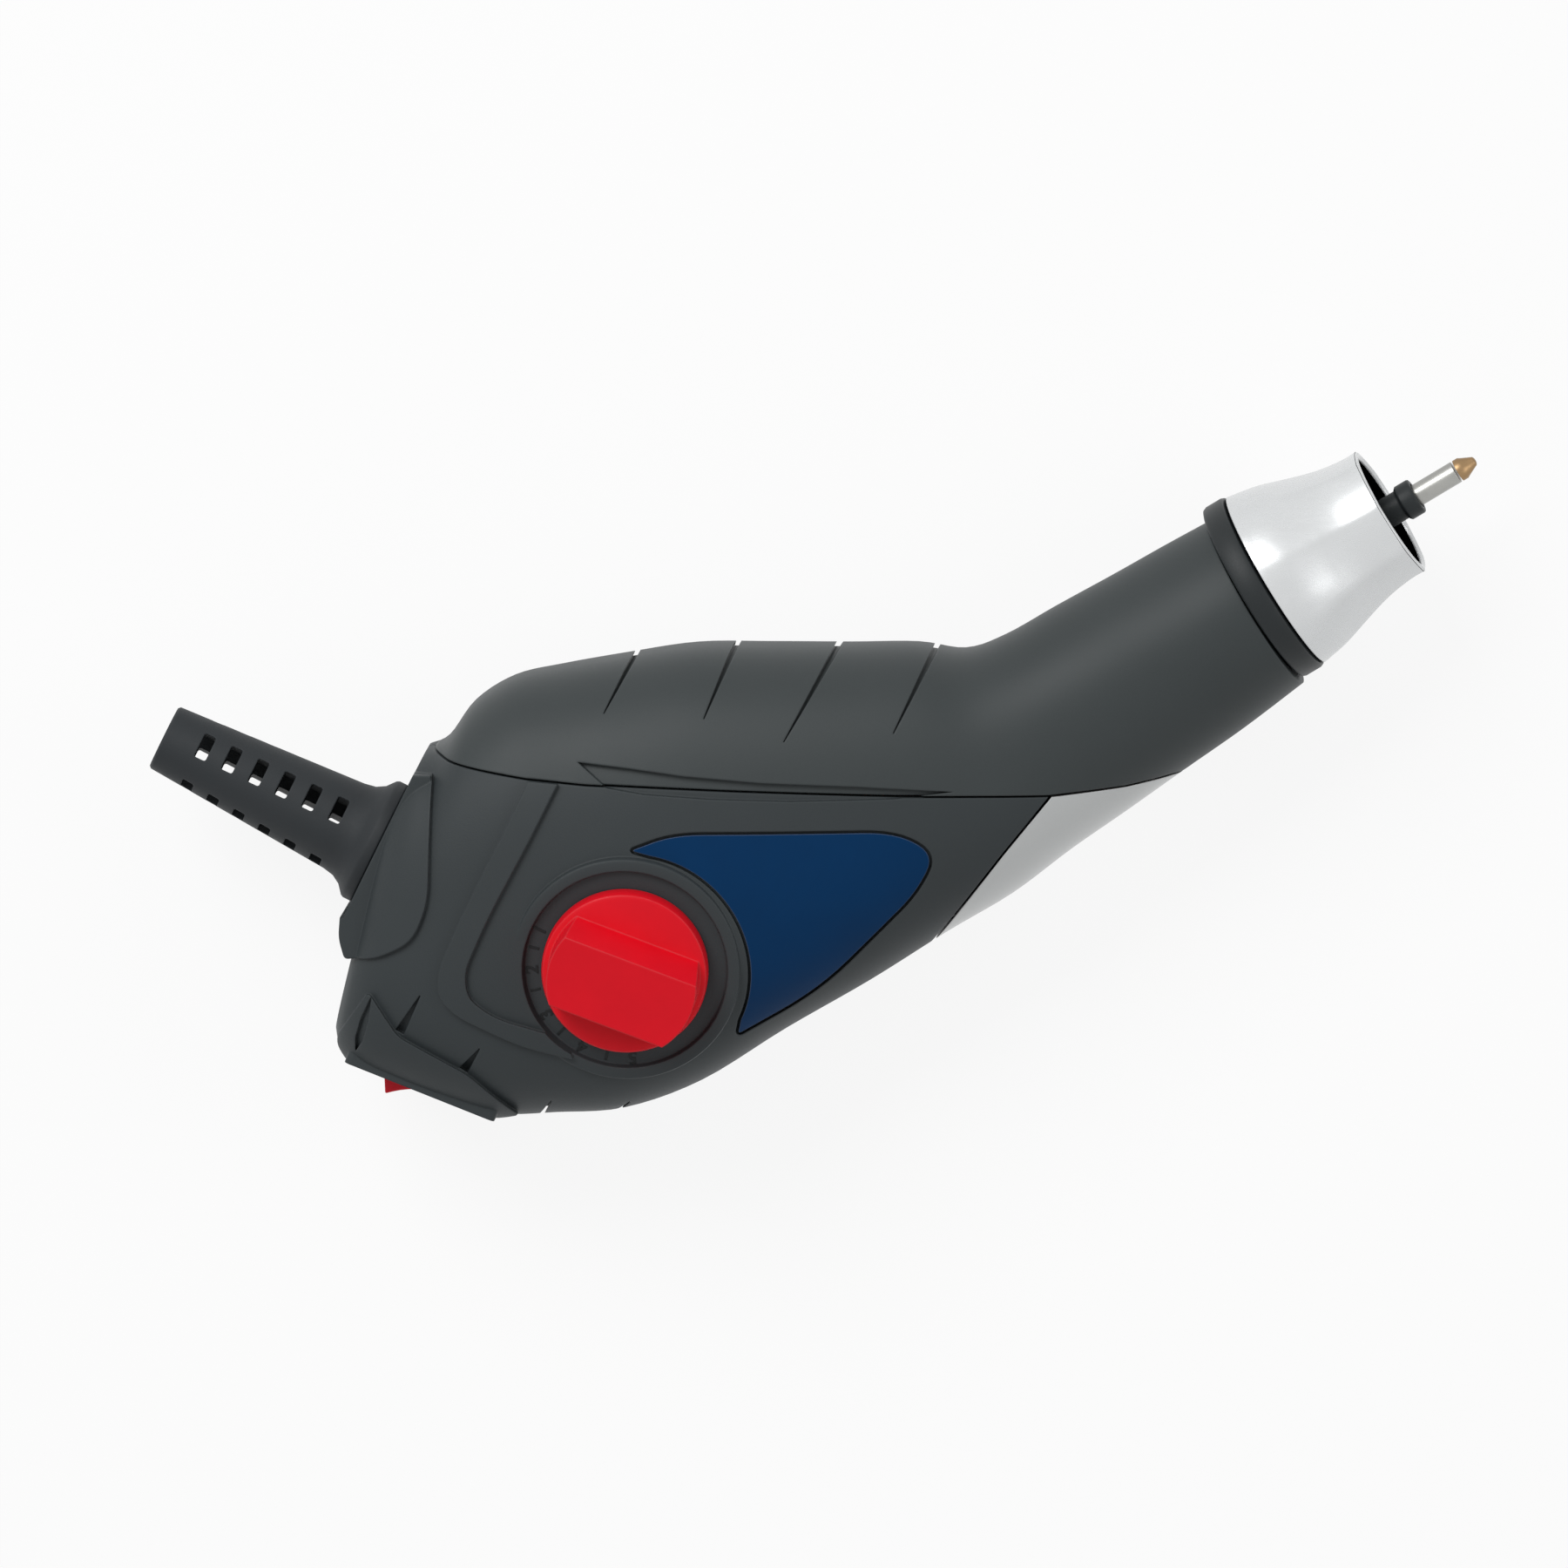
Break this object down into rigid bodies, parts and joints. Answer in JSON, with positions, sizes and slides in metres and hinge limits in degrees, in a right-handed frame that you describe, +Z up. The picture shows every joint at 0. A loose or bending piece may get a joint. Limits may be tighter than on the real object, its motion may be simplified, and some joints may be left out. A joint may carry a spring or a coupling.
{
  "type": "electric engraving pen",
  "caption": "Hand-held electric engraver: a cranked moulded body with a stroke dial, a rocker switch, a slotted cord boot and a flared nose around a reciprocating stylus",
  "frame": {"origin": "middle of the bounding box's lower face, on the surface that the pen lies on", "axes": "+X towards the stylus, +Y towards the grip side, +Z up through the side that holds the dial"},
  "size_m": [0.1812, 0.0906, 0.0442],
  "materials": {
    "black_shell": "fine-grained moulded shell",
    "boot_rubber": "soft moulded rubber",
    "silver_paint": "silver metallic paint over plastic",
    "blue_panel": "printed film",
    "red_plastic": "satin moulded plastic",
    "natural_nylon": "uncoloured nylon",
    "laminated_iron": "stacked electrical sheet",
    "copper_winding": "enamelled copper wire",
    "plunger_iron": "turned soft iron",
    "bright_steel": "bright steel",
    "hard_tip": "brazed hard metal",
    "lead_live": "brown wire insulation",
    "lead_neutral": "blue wire insulation",
    "lead_switched": "black wire insulation"
  },
  "bodies": {
    "root": {"top_cover": "black_shell", "housing_near": "black_shell", "housing_far": "black_shell", "accent_panel": "silver_paint", "label_panel": "blue_panel", "housing_screw_1": "bright_steel", "housing_screw_2": "bright_steel", "housing_screw_3": "bright_steel", "housing_screw_4": "bright_steel", "cord_boot": "boot_rubber", "cord_clamp": "black_shell", "cord_clamp_screw_1": "bright_steel", "cord_clamp_screw_2": "bright_steel", "switch_body": "black_shell", "switch_terminal_rear": "bright_steel", "switch_terminal_front": "bright_steel", "yoke_stack": "laminated_iron", "yoke_screw_1": "bright_steel", "yoke_screw_2": "bright_steel", "coil_bobbin": "natural_nylon", "coil_winding": "copper_winding", "nose_collar": "black_shell", "nose_cap": "silver_paint", "front_bush": "black_shell", "return_spring": "bright_steel", "stroke_spring": "bright_steel", "lead_live": "lead_live", "lead_neutral": "lead_neutral", "lead_switched": "lead_switched"},
    "dial": {"stroke_dial": "red_plastic", "dial_cam": "natural_nylon", "dial_washer": "bright_steel", "dial_screw": "bright_steel"},
    "slider": {"stop_slider": "natural_nylon"},
    "rocker": {"switch_rocker": "red_plastic"},
    "striker": {"plunger": "plunger_iron", "drive_rod": "bright_steel", "spring_seat": "bright_steel", "stylus_holder": "black_shell", "holder_grub_screw": "bright_steel", "stylus_shank": "bright_steel", "stylus_tip": "hard_tip"}
  },
  "joints": [
    {"name": "dial_turn", "type": "hinge", "parent": "root", "child": "dial", "pos_m": [-0.02434, -0.02314, 0.0356], "axis": [0, -0.1478, 0.989], "range_deg": [0, 118]},
    {"name": "stop_slide", "type": "slide", "parent": "root", "child": "slider", "axis": [0.8572, 0.515, 0], "range_m": [0, 0.0012], "deforming": ["stroke_spring"]},
    {"name": "rocker_tilt", "type": "hinge", "parent": "root", "child": "rocker", "pos_m": [-0.0518, -0.03756, 0.0172], "axis": [0, 0, 1], "range_deg": [-26, 0]},
    {"name": "stylus_stroke", "type": "slide", "parent": "root", "child": "striker", "axis": [0.8572, 0.515, 0], "range_m": [-0.001, 0], "stiffness_N_per_m": 600, "deforming": ["return_spring"]}
  ],
  "couplings": [
    {"joint": "dial_turn", "follows": "stop_slide", "rad_per_m": 1716.2}
  ]
}
